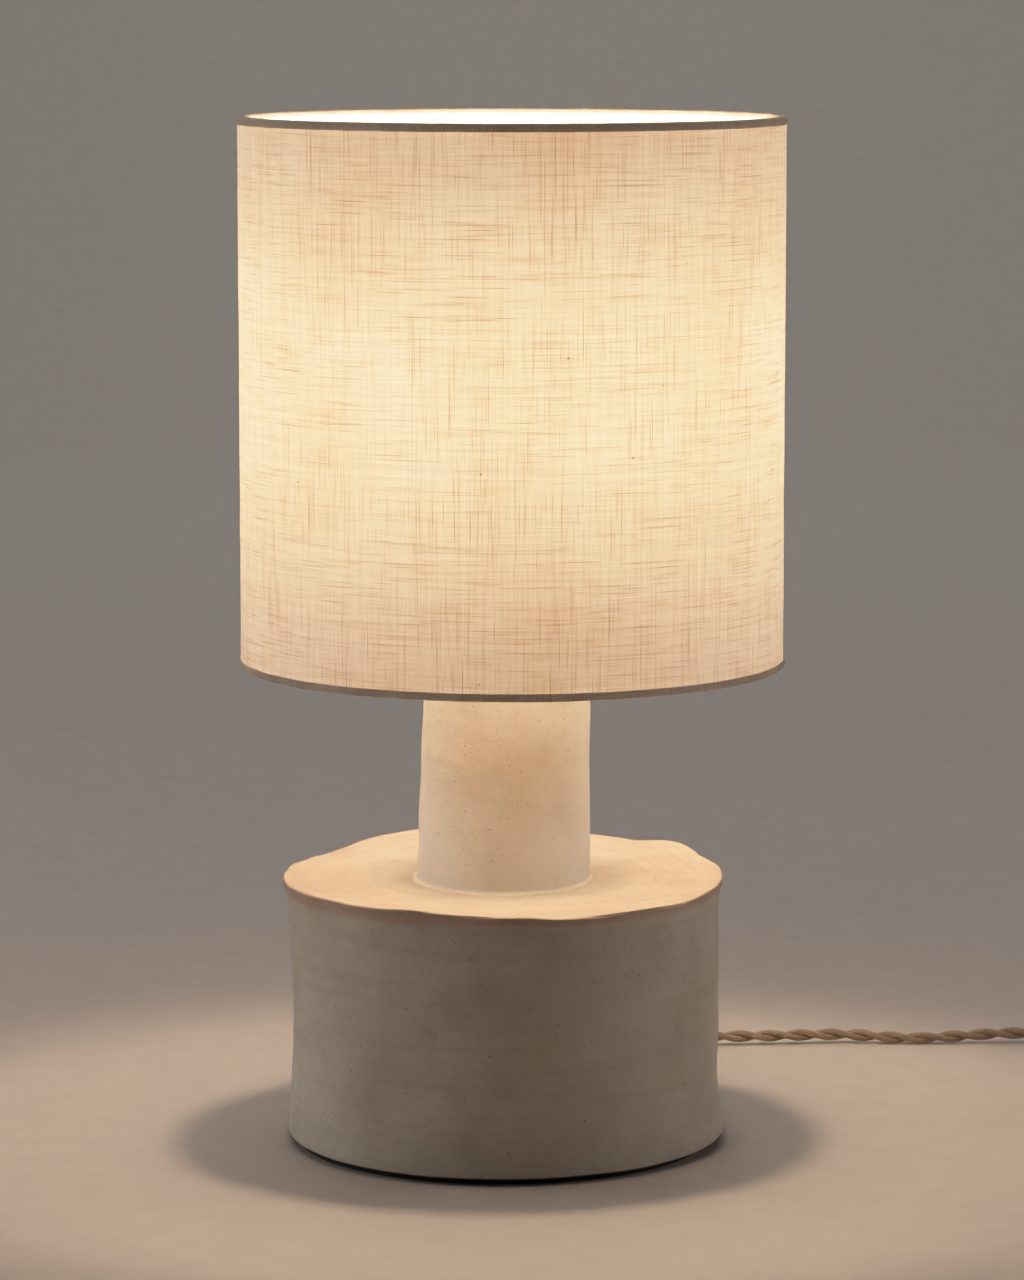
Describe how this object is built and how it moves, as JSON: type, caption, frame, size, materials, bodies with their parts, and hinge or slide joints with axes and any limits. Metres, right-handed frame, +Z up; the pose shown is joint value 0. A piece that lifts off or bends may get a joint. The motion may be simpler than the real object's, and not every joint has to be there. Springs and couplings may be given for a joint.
{
  "type": "table lamp",
  "caption": "Table lamp: squat hand-built clay base with a round neck, linen drum shade on an E27 holder, twisted textile cord with inline switch and plug.",
  "frame": {"origin": "on the surface that the lamp stands on, below the axis of the shade", "axes": "+Z up along the axis of the shade, lampholder and bulb; +Y towards the back, where the cord leaves; -Y is the front"},
  "size_m": [0.4885, 0.3352, 0.4746],
  "materials": {
    "clay": "matte unglazed stoneware, cream, with fine dark iron specks and soft smears",
    "felt": "black felt",
    "board": "black fibreboard",
    "white_plastic": "warm white moulded plastic, fine texture",
    "steatite": "white steatite",
    "zinc_steel": "zinc plated",
    "brass": "nickel-bright brass contacts",
    "black_glass": "black glass insulator",
    "opal_glass": "opal, lit",
    "linen": "natural linen, plain weave with slubs",
    "liner": "white translucent laminate",
    "hem": "rolled linen tape",
    "white_wire": "white powder coat",
    "textile_cord": "beige braided textile, two strands twisted together",
    "tie": "black tie"
  },
  "bodies": {
    "base": {"ceramic_body": "clay", "felt_foot": "felt", "bottom_board": "board", "cord_clamp": "board", "cord_gland": "white_plastic", "holder_cap": "white_plastic", "holder_shell": "white_plastic", "switch_base": "white_plastic", "switch_cover": "white_plastic", "rocker_bearing_1": "white_plastic", "rocker_bearing_2": "white_plastic", "plug_body": "white_plastic", "plug_strain_relief": "white_plastic", "holder_insert": "steatite", "threaded_tube": "zinc_steel", "lower_washer": "zinc_steel", "lower_nut": "zinc_steel", "upper_washer": "zinc_steel", "upper_nut": "zinc_steel", "cap_lock_screw": "zinc_steel", "terminal_screw_1": "zinc_steel", "terminal_screw_2": "zinc_steel", "clamp_screw_1": "zinc_steel", "clamp_screw_2": "zinc_steel", "switch_screw_1": "zinc_steel", "switch_screw_2": "zinc_steel", "centre_contact": "brass", "screw_shell": "brass", "switch_leaf": "brass", "switch_terminal_1": "brass", "switch_terminal_2": "brass", "plug_pin_1": "brass", "plug_pin_2": "brass", "inner_cord": "textile_cord", "cord_to_switch": "textile_cord", "cord_to_coil": "textile_cord", "cord_coil": "textile_cord", "cord_to_plug": "textile_cord", "coil_tie_1": "tie", "coil_tie_2": "tie"},
    "shade": {"shade_linen": "linen", "shade_liner": "liner", "top_wire_ring": "white_wire", "bottom_wire_ring": "white_wire", "top_hem": "hem", "bottom_hem": "hem", "back_seam": "linen", "fitter_ring": "white_wire", "fitter_arm_1": "white_wire", "fitter_arm_2": "white_wire", "fitter_arm_3": "white_wire"},
    "ring": {"shade_ring": "white_plastic"},
    "bulb": {"bulb_contact": "brass", "bulb_insulator": "black_glass", "bulb_cap": "zinc_steel", "bulb_glass": "opal_glass", "bulb_stem": "steatite"},
    "rocker": {"switch_rocker": "white_plastic"}
  },
  "joints": [
    {"name": "shade_turn", "type": "hinge", "parent": "base", "child": "shade", "pos_m": [0, 0, 0.2709], "axis": [0, 0, 1], "continuous": true},
    {"name": "shade_ring_turn", "type": "hinge", "parent": "base", "child": "ring", "pos_m": [0, 0, 0.276], "axis": [0, 0, 1], "continuous": true},
    {"name": "bulb_turn", "type": "hinge", "parent": "base", "child": "bulb", "pos_m": [0, 0, 0.2771], "axis": [0, 0, 1], "continuous": true},
    {"name": "switch_rocker", "type": "hinge", "parent": "base", "child": "rocker", "pos_m": [0.3452, 0.1267, 0.0148], "axis": [1, 0, 0], "range_deg": [-14, 0]}
  ]
}
